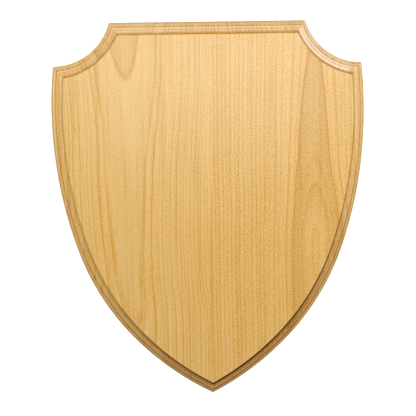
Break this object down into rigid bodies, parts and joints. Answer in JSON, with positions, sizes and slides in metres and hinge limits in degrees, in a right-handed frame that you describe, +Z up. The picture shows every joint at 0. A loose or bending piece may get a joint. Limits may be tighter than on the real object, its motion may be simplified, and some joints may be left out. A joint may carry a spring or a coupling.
{
  "type": "heraldic shield wall plaque",
  "caption": "Blank solid-wood heraldic shield plaque with scooped upper corners, a raised flat field and a cove-and-bead edge, hung from a keyhole slot in its back.",
  "frame": {"origin": "on the flat back, on the centre line, halfway between the top edge and the tip: the face that rests on the wall", "axes": "+Z up towards the straight top edge, +Y out of the back towards the wall, so the moulded front faces -Y, and +X to the right seen from the front"},
  "size_m": [0.305, 0.019, 0.37],
  "materials": {
    "clear_finished_wood": "satin clear coat on pale straight-grained hardwood"
  },
  "bodies": {
    "root": {"shield_board": "clear_finished_wood"}
  },
  "joints": []
}
